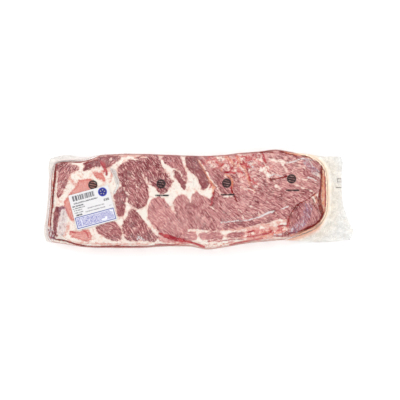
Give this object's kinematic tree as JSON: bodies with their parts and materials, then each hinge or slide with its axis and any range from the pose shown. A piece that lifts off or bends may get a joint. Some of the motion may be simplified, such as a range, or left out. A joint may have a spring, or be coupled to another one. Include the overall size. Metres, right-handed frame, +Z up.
{
  "type": "vacuum-packed raw pork ribs",
  "caption": "Raw rack of pork ribs lying meat side up in a tight clear vacuum bag, with a flat sealed film tail at one end and a stuck-on price label near the other.",
  "frame": {"origin": "middle of the pack's footprint, on the surface that it lies on", "axes": "+Z up, +X along the rack towards the wide sealed tail of the bag, +Y to the far long side when the label reads upright"},
  "size_m": [0.4322, 0.14, 0.0341],
  "materials": {
    "raw_pork": "wet raw meat with pale fat, seen through clear film",
    "clear_film": "clear glossy vacuum film, milky where two sheets are sealed",
    "label_paper": "smooth thermal paper with pale print"
  },
  "bodies": {
    "root": {"vacuum_bag_of_ribs": "raw_pork", "price_label": "label_paper"}
  },
  "joints": []
}
